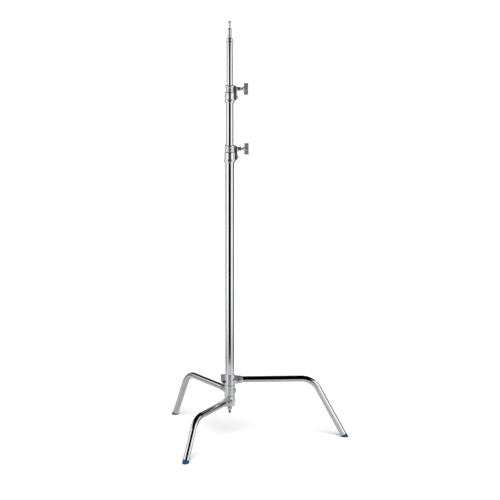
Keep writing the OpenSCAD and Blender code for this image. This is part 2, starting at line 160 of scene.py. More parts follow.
# ---- mesh building ----
def rounded(points, radius, steps=4, closed=False):
    """The outline with each corner turned into an arc of about the radius."""
    nearly_straight = math.radians(172)
    longest_trim = 0.45
    out = []
    last = len(points) - 1
    for k, p in enumerate(points):
        if not closed and k in (0, last):
            out.append(p)
            continue
        here = Vector(p)
        before, after = Vector(points[k - 1]), Vector(points[(k + 1) % len(points)])
        a, b = (before - here), (after - here)
        angle = a.angle(b)
        if angle > nearly_straight:
            out.append(p)
            continue
        trim = min(radius / math.tan(angle / 2), longest_trim * a.length, longest_trim * b.length)
        start, end = here + a.normalized() * trim, here + b.normalized() * trim
        for s in range(steps + 1):
            t = s / steps
            q = start * (1 - t) ** 2 + here * (2 * t * (1 - t)) + end * t ** 2
            out.append((q.x, q.y))
    return out


def pipe_section(outer, inner, low, high, edge=EDGE, steps=3):
    """The section of a pipe with broken edges."""
    return rounded([(outer, low), (outer, high), (inner, high), (inner, low)], edge, steps, closed=True)


def turns(count):
    """The angles of a full turn's steps."""
    return [2 * math.pi * s / count for s in range(count)]


def add_ring(bm, place, z, radii):
    """A ring of vertices round Z at one height, with a radius for each of them."""
    return [bm.verts.new(place @ Vector((r * math.cos(t), r * math.sin(t), z)))
            for r, t in zip(radii, turns(len(radii)))]


def join_rings(bm, rings):
    """Faces between each ring and the next. A ring of one vertex is a tip on the axis."""
    for low, high in zip(rings, rings[1:]):
        sides = max(len(low), len(high))
        for s in range(sides):
            n = (s + 1) % sides
            loop = [low[s % len(low)], low[n % len(low)], high[n % len(high)], high[s % len(high)]]
            loop = [v for k, v in enumerate(loop) if v not in loop[:k]]
            if len(loop) > 2:
                bm.faces.new(loop)


def add_lathe(bm, profile, place, sides=96, ring=False):
    """Turns a profile of (radius, height) points about Z. ring joins its last point to its first."""
    rings = [add_ring(bm, place, z, [r] * sides if r else [0]) for r, z in profile]
    join_rings(bm, rings + rings[:1] if ring else rings)


def add_prism(bm, outline, y0, y1, place):
    """A flat outline of (x, z) points, drawn out along Y."""
    front = [bm.verts.new(place @ Vector((x, y0, z))) for x, z in outline]
    back = [bm.verts.new(place @ Vector((x, y1, z))) for x, z in outline]
    bm.faces.new(front)
    bm.faces.new(back[::-1])
    for k in range(len(outline)):
        n = (k + 1) % len(outline)
        bm.faces.new([front[n], front[k], back[k], back[n]])


def add_sweep(bm, points, radius, sides, inner=None):
    """A round rod along the points, or a tube if inner gives its bore."""
    shells = []
    side = Vector((0, 1, 0))
    for r in [radius] if inner is None else [radius, inner]:
        rings = []
        for k, p in enumerate(points):
            ahead = (points[min(k + 1, len(points) - 1)] - points[max(k - 1, 0)]).normalized()
            u = (side - ahead * side.dot(ahead)).normalized()
            w = ahead.cross(u)
            rings.append([bm.verts.new(p + r * (u * math.cos(t) + w * math.sin(t))) for t in turns(sides)])
            side = u
        join_rings(bm, rings)
        shells.append(rings)
    for end in (0, -1):
        if inner is None:
            bm.faces.new(shells[0][end])
        else:
            join_rings(bm, [shell[end] for shell in shells])


def add_nut(bm, apothem, z0, z1, place, bore):
    """A hexagonal nut with turned chamfers and a plain bore."""
    sides = 72
    corner, face = apothem / math.cos(math.pi / 6), 0.97 * apothem
    chamfer = (corner - apothem) * 0.6
    flats = [apothem / math.cos((t + math.pi / 6) % (math.pi / 3) - math.pi / 6) for t in turns(sides)]
    rings = [add_ring(bm, place, z, [min(r, limit) for r in flats])
             for z, limit in ((z0, face), (z0 + chamfer, corner), (z1 - chamfer, corner), (z1, face))]
    rings += [add_ring(bm, place, z, [bore] * sides) for z in (z1, z0)]
    join_rings(bm, rings + rings[:1])


def add_thread(bm, radius, pitch, z0, z1, place):
    """A threaded rod with a rounded helical groove that runs out at both ends."""
    sides, rings_per_turn = 32, 8
    depth = 0.55 * pitch
    count = round((z1 - z0) / pitch * rings_per_turn)
    rings = []
    for k in range(count + 1):
        z = z0 + (z1 - z0) * k / count
        fade = min(1, k / rings_per_turn, (count - k) / rings_per_turn)
        phases = [2 * math.pi * ((z / pitch - s / sides) % 1) for s in range(sides)]
        groove = [depth * fade * (0.5 - 0.5 * math.cos(a)) for a in phases]
        rings.append(add_ring(bm, place, z, [radius - g for g in groove]))
    join_rings(bm, rings)
    bm.faces.new(rings[0][::-1])
    bm.faces.new(rings[-1])


def to_object(bm, name):
    """Turns a finished bmesh into an object in the scene."""
    bmesh.ops.recalc_face_normals(bm, faces=bm.faces)
    mesh = bpy.data.meshes.new(name)
    bm.to_mesh(mesh)
    bm.free()
    obj = bpy.data.objects.new(name, mesh)
    bpy.context.scene.collection.objects.link(obj)
    return obj


def solid(name, add, *shape, **detail):
    """An object made by one of the add_ functions from what follows it."""
    bm = bmesh.new()
    add(bm, *shape, **detail)
    return to_object(bm, name)


def applied(obj):
    """Applies the object's modifiers to its mesh."""
    bpy.context.view_layer.update()
    graph = bpy.context.evaluated_depsgraph_get()
    mesh = bpy.data.meshes.new_from_object(obj.evaluated_get(graph))
    obj.modifiers.clear()
    old = obj.data
    obj.data = mesh
    bpy.data.meshes.remove(old)
    return obj


def blended(obj, voxel, smooths):
    """Fuses overlapping solids into one skin whose inner corners are soft, as on a casting."""
    remesh = obj.modifiers.new("fuse", "REMESH")
    remesh.mode = "VOXEL"
    remesh.voxel_size = voxel
    smooth = obj.modifiers.new("soften", "SMOOTH")
    smooth.factor = 0.5
    smooth.iterations = smooths
    return applied(obj)


def cut(obj, add, *shape):
    """Cuts out of the object what an add_ function makes from what follows it."""
    tool = solid("tool", add, *shape)
    boolean = obj.modifiers.new("cut", "BOOLEAN")
    boolean.operation = "DIFFERENCE"
    boolean.solver = "MANIFOLD"
    boolean.object = tool
    applied(obj)
    bpy.data.objects.remove(tool)


def piece(obj, body, material, nodes, sharp=TURNED_SHARP):
    """Shades a finished mesh, gives it its material and hands it to its body."""
    obj.data.materials.clear()
    obj.data.materials.append(material)
    obj.data.polygons.foreach_set("use_smooth", [True] * len(obj.data.polygons))
    obj.data.set_sharp_from_angle(angle=math.radians(sharp))
    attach(obj, body)
    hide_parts(*nodes)


# ---- materials ----
class Nodes:
    """A small helper that adds shader nodes and joins them."""

    def __init__(self, name):
        self.material = bpy.data.materials.new(name)
        self.material.use_nodes = True
        self.tree = self.material.node_tree
        self.shader = self.tree.nodes["Principled BSDF"]
        self.coords = self.add("ShaderNodeTexCoord").outputs["Object"]

    def add(self, kind, **values):
        """A node of a kind, with its settings."""
        node = self.tree.nodes.new(kind)
        for key, value in values.items():
            setattr(node, key, value)
        return node

    def link(self, a, b):
        """Joins an output to an input."""
        self.tree.links.new(a, b)

    def feed(self, socket, value):
        """Joins a socket to another one, or sets it to a fixed value."""
        if isinstance(value, bpy.types.NodeSocket):
            self.link(value, socket)
        else:
            socket.default_value = value

    def xyz(self):
        """The piece's own coordinates, one output each."""
        split = self.add("ShaderNodeSeparateXYZ")
        self.link(self.coords, split.inputs["Vector"])
        return split.outputs

    def noise(self, scale, detail=3.0, stretch=(1, 1, 1), roughness=0.5):
        """Noise fixed to the piece, in features per metre, drawn out along an axis by stretch."""
        mapping = self.add("ShaderNodeMapping")
        mapping.inputs["Scale"].default_value = stretch
        noise = self.add("ShaderNodeTexNoise")
        noise.inputs["Scale"].default_value = scale
        noise.inputs["Detail"].default_value = detail
        noise.inputs["Roughness"].default_value = roughness
        self.link(self.coords, mapping.inputs["Vector"])
        self.link(mapping.outputs["Vector"], noise.inputs["Vector"])
        return noise.outputs["Fac"]

    def ramp(self, source, stops):
        """Maps a texture's values onto colours, by (position, colour) stops."""
        ramp = self.add("ShaderNodeValToRGB")
        elements = ramp.color_ramp.elements
        while len(elements) < len(stops):
            elements.new(0.5)
        for element, (position, colour) in zip(elements, stops):
            element.position = position
            element.color = (*colour, 1)
        self.link(source, ramp.inputs["Fac"])
        return ramp.outputs["Color"]

    def span(self, source, low, high, from_low=0.3, from_high=0.7):
        """Maps a texture's values onto a range."""
        node = self.add("ShaderNodeMapRange")
        node.inputs["From Min"].default_value = from_low
        node.inputs["From Max"].default_value = from_high
        node.inputs["To Min"].default_value = low
        node.inputs["To Max"].default_value = high
        self.link(source, node.inputs["Value"])
        return node.outputs["Result"]

    def math(self, operation, *values):
        """Arithmetic on sockets and fixed numbers."""
        node = self.add("ShaderNodeMath", operation=operation)
        for socket, value in zip(node.inputs, values):
            self.feed(socket, value)
        return node.outputs["Value"]

    def mix(self, factor, a, b, blend="MIX"):
        """Mixes two colours. Each value is a socket or a fixed one."""
        node = self.add("ShaderNodeMix", data_type="RGBA", blend_type=blend)
        for socket, value in (("Factor", factor), (MIX_A, a), (MIX_B, b)):
            self.feed(node.inputs[socket], value)
        return node.outputs[MIX_RESULT]

    def bump(self, height, strength, distance, onto=None):
        """A normal from a height, over another one if onto gives it."""
        node = self.add("ShaderNodeBump")
        node.inputs["Strength"].default_value = strength
        node.inputs["Distance"].default_value = distance
        self.link(height, node.inputs["Height"])
        if onto is not None:
            self.link(onto, node.inputs["Normal"])
        return node.outputs["Normal"]

    def done(self, metallic, colour, roughness, normal):
        """Joins the finished sockets to the shader and returns the material."""
        self.shader.inputs["Metallic"].default_value = metallic
        for socket, source in (("Base Color", colour), ("Roughness", roughness), ("Normal", normal)):
            self.link(source, self.shader.inputs[socket])
        return self.material


def tube_chrome():
    """Bright chrome over drawn tube: faint drawing lines, wiped smudges and a few dull specks."""
    n = Nodes("tube_chrome")
    smudge = n.noise(9.0, 4.0)
    specks = n.ramp(n.noise(420.0, 2.0), [(0.70, (0, 0, 0)), (0.76, (1, 1, 1))])
    drawn = n.noise(60.0, 2.0, stretch=(12, 12, 0.35))
    colour = n.ramp(smudge, [(0.35, (0.84, 0.85, 0.87)), (0.65, (0.91, 0.915, 0.925))])
    rough = n.math("MULTIPLY_ADD", specks, 0.10, n.span(smudge, 0.012, 0.035))
    return n.done(1.0, colour, rough, n.bump(drawn, 0.04, 0.03 * MM))


def cast_chrome():
    """Bright chrome over a cast skin: fine pits, a soft orange peel, and a painted highlight that makes the
    convex edges brighter and leaves the hollows darker as painted shade.
    """
    n = Nodes("cast_chrome")
    peel = n.noise(260.0, 3.0)
    pits = n.noise(1500.0, 2.0)
    patches = n.noise(38.0, 4.0)
    edge = n.add("ShaderNodeNewGeometry").outputs["Pointiness"]
    colour = n.ramp(patches, [(0.3, (0.80, 0.81, 0.83)), (0.7, (0.90, 0.905, 0.915))])
    # painted highlight and shade: the base colour is lightened where pointiness marks a convex edge
    colour_with_lit_edges = n.mix(n.span(edge, 0.0, 1.0, 0.52, 0.60), colour, (0.93, 0.935, 0.945, 1))
    normal = n.bump(pits, 0.10, 0.06 * MM, n.bump(peel, 0.12, 0.18 * MM))
    return n.done(0.96, colour_with_lit_edges, n.span(peel, 0.05, 0.11), normal)


def satin_chrome():
    """Satin chrome over a coarser cast skin, as on the T-handles and the hubs."""
    n = Nodes("satin_chrome")
    peel = n.noise(420.0, 3.0)
    pits = n.noise(1700.0, 2.0)
    colour = n.ramp(n.noise(55.0, 4.0), [(0.3, (0.72, 0.73, 0.75)), (0.7, (0.86, 0.865, 0.88))])
    normal = n.bump(pits, 0.12, 0.06 * MM, n.bump(peel, 0.12, 0.15 * MM))
    return n.done(0.90, colour, n.span(peel, 0.15, 0.24), normal)


def zinc_steel():
    """Zinc-plated fasteners: bluish grey with a warm bloom and turning marks."""
    n = Nodes("zinc_steel")
    bloom = n.noise(90.0, 4.0)
    marks = n.noise(700.0, 2.0, stretch=(1, 1, 6))
    colour = n.ramp(bloom, [(0.3, (0.30, 0.31, 0.34)), (0.55, (0.42, 0.43, 0.45)),
                            (0.75, (0.48, 0.46, 0.41))])
    return n.done(1.0, colour, n.span(marks, 0.22, 0.40), n.bump(marks, 0.12, 0.05 * MM))


def black_steel():
    """Steel coloured near black, with lighter worn patches."""
    n = Nodes("black_steel")
    wear = n.noise(160.0, 4.0)
    marks = n.noise(700.0, 2.0, stretch=(1, 1, 6))
    colour = n.ramp(wear, [(0.35, (0.07, 0.07, 0.075)), (0.70, (0.16, 0.16, 0.165))])
    return n.done(1.0, colour, n.span(marks, 0.25, 0.42), n.bump(marks, 0.12, 0.05 * MM))


def machined_brass():
    """Brass with turning marks and a little tarnish."""
    n = Nodes("machined_brass")
    bloom = n.noise(120.0, 3.0)
    marks = n.noise(900.0, 2.0, stretch=(1, 1, 8))
    colour = n.ramp(bloom, [(0.3, (0.58, 0.42, 0.16)), (0.7, (0.80, 0.62, 0.28))])
    return n.done(1.0, colour, n.span(marks, 0.25, 0.45), n.bump(marks, 0.10, 0.04 * MM))


def dark_nylon():
    """Black nylon with a fine moulded grain."""
    n = Nodes("dark_nylon")
    grain = n.noise(800.0, 3.0)
    colour = n.ramp(n.noise(70.0), [(0.3, (0.030, 0.030, 0.034)), (0.7, (0.055, 0.055, 0.060))])
    return n.done(0.0, colour, n.span(grain, 0.45, 0.62), n.bump(grain, 0.15, 0.05 * MM))


def blue_rubber():
    """Moulded rubber: deep blue, matt, with a fine grain and paler scuffs where it has been dragged."""
    n = Nodes("blue_rubber")
    grain = n.noise(900.0, 3.0)
    scuff = n.noise(140.0, 5.0, roughness=0.7)
    colour = n.ramp(scuff, [(0.35, (0.002, 0.026, 0.070)), (0.62, (0.004, 0.045, 0.110)),
                            (0.80, (0.03, 0.10, 0.18))])
    normal = n.bump(grain, 0.25, 0.12 * MM, n.bump(scuff, 0.15, 0.3 * MM))
    return n.done(0.0, colour, n.span(scuff, 0.42, 0.68), normal)


CHROME = tube_chrome()
CAST = cast_chrome()
SATIN = satin_chrome()
STEEL = zinc_steel()
DARK_STEEL = black_steel()
BRASS = machined_brass()
NYLON = dark_nylon()
RUBBER = blue_rubber()


# ---- column, risers and what is on them ----
def make_tube(name, body, outer, wall):
    """A turned tube the length of its CAD node."""
    low, high = (corner.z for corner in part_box(name))
    tube = solid(name + "_tube", add_lathe, pipe_section(outer, outer - wall, low, high), at_column(),
                 sides=128, ring=True)
    piece(tube, body, CHROME, [name])


def make_collar_casting(i):
    """A beaded sleeve with a block down one side and the T-handle's barrel, in one casting."""
    tube_r, riser_r, block = COLLAR_TUBE_R[i], RISER_R[i], COLLAR_BLOCK[i]
    place = at_column(COLLAR_TOP[i])
    handle_axis = place @ at(z=-KNOB_DROP) @ TO_X
    lip, neck = riser_r + 5.5 * MM, riser_r + 3 * MM
    sleeve, skirt = tube_r + 3.3 * MM, tube_r + 5.3 * MM
    barrel = riser_r + 32 * MM
    beads = [(neck + out * MM, (foot + up) * MM) for foot in (-24.5, -18)
             for out, up in ((0, 0), (1, 1), (1, 2.5), (0, 3.5))]
    outline = [
        (0, -COLLAR_H), (skirt - 1.5 * MM, -COLLAR_H), (skirt, -COLLAR_H + 3.5 * MM), (skirt, -60 * MM),
        (sleeve, -56 * MM), (sleeve, -29.5 * MM), (neck, -27 * MM), *beads, (neck, -10 * MM),
        (lip - 0.6 * MM, -8 * MM), (lip, -5 * MM), (lip - 0.6 * MM, -1.8 * MM), (lip - 2.8 * MM, 0), (0, 0),
    ]
    side = [
        (5 * MM, -3 * MM), (lip - 1 * MM, -1.2 * MM), (block - 3 * MM, -4 * MM), (block, -8 * MM),
        (block, -54 * MM), (block - 3 * MM, -60 * MM), (block - 8 * MM, -62 * MM), (5 * MM, -62 * MM),
    ]
    boss = [
        (0, block - 9 * MM), (9 * MM, block - 9 * MM), (8.8 * MM, block - 1 * MM),
        (7.8 * MM, block + 6 * MM), (7.8 * MM, barrel - 1.2 * MM), (6.8 * MM, barrel), (0, barrel),
    ]
    bm = bmesh.new()
    add_lathe(bm, rounded(outline, 1.5 * MM, 3), place)
    add_prism(bm, side, -10 * MM, 10 * MM, place)
    add_lathe(bm, boss, handle_axis, 64)
    casting = blended(to_object(bm, f"collar_{i}_casting"), CAST_VOXEL, smooths=7)

    shoulder, throat = -29 * MM, riser_r + 0.3 * MM
    bore = [(0, -COLLAR_H - OVER), (tube_r, -COLLAR_H - OVER), (tube_r, shoulder),
            (throat, shoulder), (throat, OVER), (0, OVER)]
    cut(casting, add_lathe, bore, place)
    shoe_r, shoe_seat, screw_hole = 6.2 * MM, riser_r + 9 * MM, SCREW_R + 0.2 * MM
    pocket = [(0, riser_r - 4 * MM), (shoe_r, riser_r - 4 * MM), (shoe_r, shoe_seat),
              (screw_hole, shoe_seat), (screw_hole, barrel + OVER), (0, barrel + OVER)]
    cut(casting, add_lathe, pocket, handle_axis, 64)
    piece(casting, COLLAR_BODY[i], CAST, [f"collar_{i}"], sharp=CAST_SHARP)


def make_collar_bush(i):
    """The nylon bush between a collar and the riser that slides in it."""
    low, high = (corner.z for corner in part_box(f"collar_{i}_bush"))
    section = pipe_section(COLLAR_TUBE_R[i], RISER_R[i] + SLIP, low, high, steps=2)
    liner = solid(f"collar_{i}_liner", add_lathe, section, at_column(), ring=True)
    piece(liner, COLLAR_BODY[i], NYLON, [f"collar_{i}_bush"])


def make_collar_screw(i):
    """The domed screw that holds a collar to its tube, with a recess in its head."""
    seat, head_r, dome_h, shank_r = COLLAR_BLOCK[i], 8 * MM, 4.4 * MM, 3 * MM
    dome = [(head_r * math.cos(a), seat + 0.6 * MM + dome_h * math.sin(a))
            for a in (math.radians(10 * k) for k in range(9))]
    profile = [(0, COLLAR_TUBE_R[i]), (shank_r, COLLAR_TUBE_R[i]), (shank_r, seat), (7.6 * MM, seat), *dome,
               (2.2 * MM, seat + 5 * MM), (2.0 * MM, seat + 2.8 * MM), (0, seat + 2.6 * MM)]
    place = at_column(COLLAR_TOP[i]) @ at(z=-SCREW_DROP) @ TO_X
    screw = solid(f"collar_{i}_dome_screw", add_lathe, profile, place, 64)
    piece(screw, COLLAR_BODY[i], CHROME, [f"collar_{i}_screw"])


def make_handle(i):
    """A T-handle: a turned hub and two ribbed wings, blended, and a hole for its screw."""
    axis = at_column(COLLAR_TOP[i] - KNOB_DROP)
    start, near, width = RISER_R[i] + 34.5 * MM, RISER_R[i] + 44 * MM, 17 * MM
    far, tip = near + width, 23 * MM
    wing_half, rib_half = 5.6 * MM, 6.7 * MM
    hub = [
        (0, start), (5.8 * MM, start), (6.3 * MM, start + 3 * MM), (7.0 * MM, start + 6 * MM),
        (9 * MM, near + 0.5 * MM), (9 * MM, far - 2.2 * MM), (7.2 * MM, far - 0.3 * MM), (0, far),
    ]
    wing = [
        (near + 0.4 * MM, 3 * MM), (near, 9 * MM), (near, tip - 3 * MM), (near + 1.5 * MM, tip),
        (far - 1.5 * MM, tip), (far, tip - 3 * MM), (far, 9 * MM), (far - 0.4 * MM, 3 * MM),
    ]
    bm = bmesh.new()
    add_lathe(bm, hub, axis @ TO_X, 64)
    for angle in (0, math.pi):
        place = axis @ Matrix.Rotation(angle, 4, "X")
        add_prism(bm, wing, -wing_half, wing_half, place)
        for k in range(3):
            low, high = (9.2 + 5 * k) * MM, (11.8 + 5 * k) * MM
            rib = [(near - 0.7 * MM, low), (far, low), (far, high), (near - 0.7 * MM, high)]
            add_prism(bm, rib, -rib_half, rib_half, place)
    handle = blended(to_object(bm, f"knob_{i}_handle"), HANDLE_VOXEL, smooths=5)
    hole_r = SCREW_R + 0.02 * MM
    hole = [(0, start - OVER), (hole_r, start - OVER), (hole_r, SCREW_END[i]), (0, SCREW_END[i])]
    cut(handle, add_lathe, hole, axis @ TO_X, 48)
    piece(handle, f"knob_{i}", SATIN, [f"knob_{i}"], sharp=CAST_SHARP)


def make_handle_screw(i):
    """The threaded screw of a T-handle, which presses on the brake shoe."""
    place = at_column(COLLAR_TOP[i] - KNOB_DROP) @ TO_X
    start = RISER_R[i] + 5.1 * MM
    screw = solid(f"knob_{i}_thread", add_thread, SCREW_R, SCREW_PITCH, start, SCREW_END[i], place)
    piece(screw, f"knob_{i}", STEEL, [f"knob_{i}_screw"], sharp=THREAD_SHARP)


def make_cap():
    """The turned cap on the upper riser: a cone down to a rim, open round the stud."""
    mouth, seat, foot = STUD_R + 0.5 * MM, -5 * MM, -19 * MM
    outside = [(mouth, 0), (10.2 * MM, 0), (11.6 * MM, -1.4 * MM), (14.0 * MM, -9 * MM),
               (14.2 * MM, -12 * MM), (16 * MM, -16.4 * MM), (16 * MM, -18 * MM), (15 * MM, foot)]
    inside = [(RISER_R[2], foot), (RISER_R[2], seat), (mouth, seat)]
    section = rounded(outside + inside, 0.7 * MM, 3, closed=True)
    cap = solid("top_cap_turned", add_lathe, section, at_column(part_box("top_cap")[1].z), ring=True)
    piece(cap, "riser_2", CAST, ["top_cap"])


def make_stud():
    """The mounting stud: a root in the riser, a plain length and a necked tip."""
    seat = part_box("top_cap")[1].z - 5 * MM
    root, root_r, r, stud = -46 * MM, RISER_R[2] - RISER_WALL, STUD_R, 42 * MM
    neck_r, tip_r, tip = 4.2 * MM, 6 * MM, stud + 29 * MM
    profile = [
        (0, root), (root_r - 1.5 * MM, root), (root_r, root + 1.5 * MM), (root_r, 0), (r + 0.5 * MM, 0),
        (r + 0.5 * MM, 5 * MM), (r, 5 * MM), (r, stud - 2.2 * MM), (r - 1.8 * MM, stud),
        (neck_r + 0.4 * MM, stud + 0.8 * MM), (neck_r, stud + 2.5 * MM), (neck_r, tip - 10.5 * MM),
        (neck_r + 0.6 * MM, tip - 9.4 * MM), (tip_r, tip - 8.2 * MM), (tip_r, tip - 2.6 * MM),
        (3.6 * MM, tip), (0, tip),
    ]
    spigot = solid("spigot_stud", add_lathe, rounded(profile, 0.6 * MM, 3), at_column(seat))
    piece(spigot, "riser_2", CHROME, ["spigot"])


# ---- hubs ----
def add_hub(bm, i):
    """The sleeve round the column and the tapered socket for one leg."""
    half = HUB_H / 2
    sleeve = [(0, -half), (HUB_R, -half), (HUB_R, half), (0, half)]
    add_lathe(bm, rounded(sleeve, 1.2 * MM, 3), at_leg(i))
    socket = [(0, 4 * MM), (19.5 * MM, 4 * MM), (14.7 * MM, SOCKET_END - 1.5 * MM),
              (13.5 * MM, SOCKET_END), (0, SOCKET_END)]
    add_lathe(bm, socket, at_leg(i) @ TO_X, 72)


def hub_casting(i, add, *shape):
    """A hub with what else it carries, blended into one casting."""
    bm = bmesh.new()
    add_hub(bm, i)
    add(bm, *shape)
    return blended(to_object(bm, f"{LEG_NAMES[i]}_hub_casting"), CAST_VOXEL, smooths=6)


def add_rod(bm, radius, low, high, place, sides=96):
    """A plain round rod along Z."""
    add_lathe(bm, [(0, low), (radius, low), (radius, high), (0, high)], place, sides)


def add_rivet_seats(bm, i):
    """The flat seats cut into both sides of a socket for its rivet's heads."""
    for turn in (TO_FRONT, TO_BACK):
        add_rod(bm, 6.1 * MM, RIVET_HALF, 26 * MM, at_leg(i) @ at(RIVET_X) @ turn, 48)


def finish_hub(casting, i):
    """Bores the leg's socket, cuts the rivet's seats and hands the hub to its body."""
    cut(casting, add_rod, LEG_R, LEG_START, SOCKET_END + OVER, at_leg(i) @ TO_X, 72)
    cut(casting, add_rivet_seats, i)
    piece(casting, LEG_BODY[i], SATIN, [f"{LEG_NAMES[i]}_hub"], sharp=CAST_SHARP)


def make_top_hub():
    """The fixed hub, split opposite its leg, with two clamp ears."""
    half, tip, root, slit_half = HUB_H / 2, -37 * MM, -15.5 * MM, 1.5 * MM
    reach = half + 2 * OVER
    ears = [(root, half), (tip + 2 * MM, half), (tip, half - 2 * MM), (tip, -4 * MM),
            (tip + 6 * MM, -13 * MM), (-HUB_R, -half + 3 * MM), (root, -half + 3 * MM)]
    slit = [(tip - 2 * OVER, -reach), (0, -reach), (0, reach), (tip - 2 * OVER, reach)]
    casting = hub_casting(0, add_prism, ears, -EAR_HALF, EAR_HALF, at_leg(0))
    cut(casting, add_rod, BASE_R, -reach, reach, at_leg(0))
    cut(casting, add_prism, slit, -slit_half, slit_half, at_leg(0))
    finish_hub(casting, 0)


def make_mid_hub():
    """The upper folding hub, with the boss of its detent plunger and a grease hole."""
    reach = HUB_H / 2 + 2 * OVER
    out, boss_r = DETENT_SEAT[1], 11 * MM
    boss = [(0, 15 * MM), (boss_r, 15 * MM), (boss_r, out - 2 * MM), (boss_r - 2 * MM, out), (0, out)]
    casting = hub_casting(1, add_lathe, boss, at_column(LEG_Z[1]) @ DETENT_TURN[1] @ TO_X, 64)
    grease_hole = at_column(LEG_Z[1] + 6 * MM) @ GREASE_TURN @ TO_X
    cut(casting, add_rod, 1.6 * MM, 5 * MM, 30 * MM, grease_hole, 24)
    cut(casting, add_rod, BASE_R + SLIP, -reach, reach, at_leg(1))
    finish_hub(casting, 1)


def make_bottom_hub():
    """The lower folding hub, closed below round the hub stud."""
    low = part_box("bottom_hub")[0].z - LEG_Z[2]
    floor, spring_r, stud_hole = low + 12 * MM, 9.5 * MM, 3.3 * MM
    bowl = [(0, low), (13 * MM, low), (18 * MM, low + 4 * MM), (20.9 * MM, low + 9 * MM),
            (HUB_R, low + 14 * MM), (0, low + 14 * MM)]
    seat = [(0, low - 2 * OVER), (spring_r, low - 2 * OVER), (spring_r, low + 8 * MM),
            (stud_hole, low + 8 * MM), (stud_hole, floor + OVER), (0, floor + OVER)]
    casting = hub_casting(2, add_lathe, rounded(bowl, 2 * MM, 3), at_leg(2))
    cut(casting, add_rod, BASE_R + SLIP, floor, HUB_H / 2 + 2 * OVER, at_leg(2))
    cut(casting, add_lathe, seat, at_leg(2), 64)
    finish_hub(casting, 2)


# ---- legs ----
def leg_points(i):
    """The centre line of a leg in the stand's frame, from inside its socket to its foot."""
    tangent = BEND_R * math.tan(LEG_SLOPE / 2)
    bend_start = LEG_CORNER[i] - tangent
    points = [Vector((LEG_START + (bend_start - LEG_START) * k / 6, 0, 0)) for k in range(6)]
    for k in range(BEND_STEPS + 1):
        a = LEG_SLOPE * k / BEND_STEPS
        points.append(Vector((bend_start + BEND_R * math.sin(a), 0, BEND_R * (math.cos(a) - 1))))
    down = Vector((math.cos(LEG_SLOPE), 0, -math.sin(LEG_SLOPE)))
    run = (LEG_Z[i] - FOOT_SEAT) / math.sin(LEG_SLOPE) - tangent
    bend_end = points[-1]
    points += [bend_end + down * (run * k / 4) for k in range(1, 5)]
    return [at_leg(i) @ p for p in points]


def make_leg_tube(i):
    """One bent leg."""
    tube = solid(f"{LEG_NAMES[i]}_leg_tube", add_sweep, leg_points(i), LEG_R, 64, LEG_R - LEG_WALL)
    piece(tube, LEG_BODY[i], CHROME, [f"{LEG_NAMES[i]}_leg"])


def make_rivet(i):
    """The rivet that holds a leg in its socket, with a low head at each end."""
    head = [(r * MM, RIVET_HALF + z * MM)
            for r, z in ((4, 0), (5.4, 0), (5.2, 0.8), (4.2, 1.7), (2.4, 2.1), (0, 2.1))]
    profile = [(r, -z) for r, z in reversed(head)] + head
    rivet = solid(f"{LEG_NAMES[i]}_leg_rivet", add_lathe, profile, at_leg(i) @ at(RIVET_X) @ TO_FRONT, 48)
    piece(rivet, LEG_BODY[i], STEEL, [f"{LEG_NAMES[i]}_rivet"])


def make_foot(i):
    """A rubber foot: a ribbed plug in the tube and a head cut level with the floor."""
    before_end, end = leg_points(i)[-2:]
    down = (end - before_end).normalized()
    place = at(*end) @ down.to_track_quat("Z", "Y").to_matrix().to_4x4()
    bore, rib_drop, head_r, past_floor = LEG_R - LEG_WALL, 0.8 * MM, 13.3 * MM, 40 * MM
    plug = [(0, -24 * MM), (bore - 1.5 * MM, -24 * MM)]
    for k in range(4):
        z = (-22 + 5.5 * k) * MM
        plug += [(bore, z), (bore, z + 1.5 * MM), (bore - rib_drop, z + 2.2 * MM),
                 (bore - rib_drop, z + 4.4 * MM)]
    head = [(bore, 0), (12.6 * MM, 0), (head_r, 0.9 * MM), (head_r, past_floor), (0, past_floor)]
    bm = bmesh.new()
    add_lathe(bm, plug + head, place, 72)
    floor = bmesh.ops.bisect_plane(bm, geom=bm.verts[:] + bm.edges[:] + bm.faces[:], plane_co=(0, 0, 0),
                                   plane_no=(0, 0, -1), clear_outer=True)
    rim = [e for e in floor["geom_cut"] if isinstance(e, bmesh.types.BMEdge)]
    sole = bmesh.ops.contextual_create(bm, geom=rim)["faces"]
    bmesh.ops.inset_region(bm, faces=sole, thickness=1.3 * MM, depth=0)
    for v in {v for e in rim for v in e.verts}:
        v.co.z += 0.9 * MM
    foot = to_object(bm, f"{LEG_NAMES[i]}_foot_rubber")
    bevel = foot.modifiers.new("round", "BEVEL")
    bevel.width = 0.5 * MM
    bevel.segments = 2
    bevel.limit_method = "ANGLE"
    bevel.angle_limit = math.radians(30)
    applied(foot)
    piece(foot, LEG_BODY[i], RUBBER, [f"{LEG_NAMES[i]}_foot"])


# ---- fasteners, and what is under the hubs ----
def make_pinch_bolt():
    """The bolt and nut that close the top hub's ears."""
    place = at_column(LEG_Z[0] - 7 * MM) @ at(-24.8 * MM)
    thread_r, head_r, head_top, socket_foot = 3 * MM, 5 * MM, EAR_HALF + 5 * MM, EAR_HALF + 2 * MM
    shank_r = thread_r - 0.1 * MM
    head = [(0, -1 * MM), (shank_r, -1 * MM), (shank_r, EAR_HALF), (head_r, EAR_HALF),
            (head_r, head_top - 0.7 * MM), (head_r - 0.6 * MM, head_top),
            (2.7 * MM, head_top), (2.5 * MM, socket_foot + 0.2 * MM), (0, socket_foot)]
    bm = bmesh.new()
    add_thread(bm, thread_r, 1 * MM, -EAR_HALF - 8 * MM, 0, place @ TO_FRONT)
    add_lathe(bm, head, place @ TO_FRONT, 48)
    piece(to_object(bm, "hub_pinch_bolt"), "stand", DARK_STEEL, ["hub_bolt"])
    nut = solid("hub_pinch_nut", add_nut, 5 * MM, 0, 5 * MM, place @ at(y=EAR_HALF) @ TO_BACK,
                bore=thread_r + 0.02 * MM)
    piece(nut, "stand", STEEL, ["hub_nut"], sharp=NUT_SHARP)


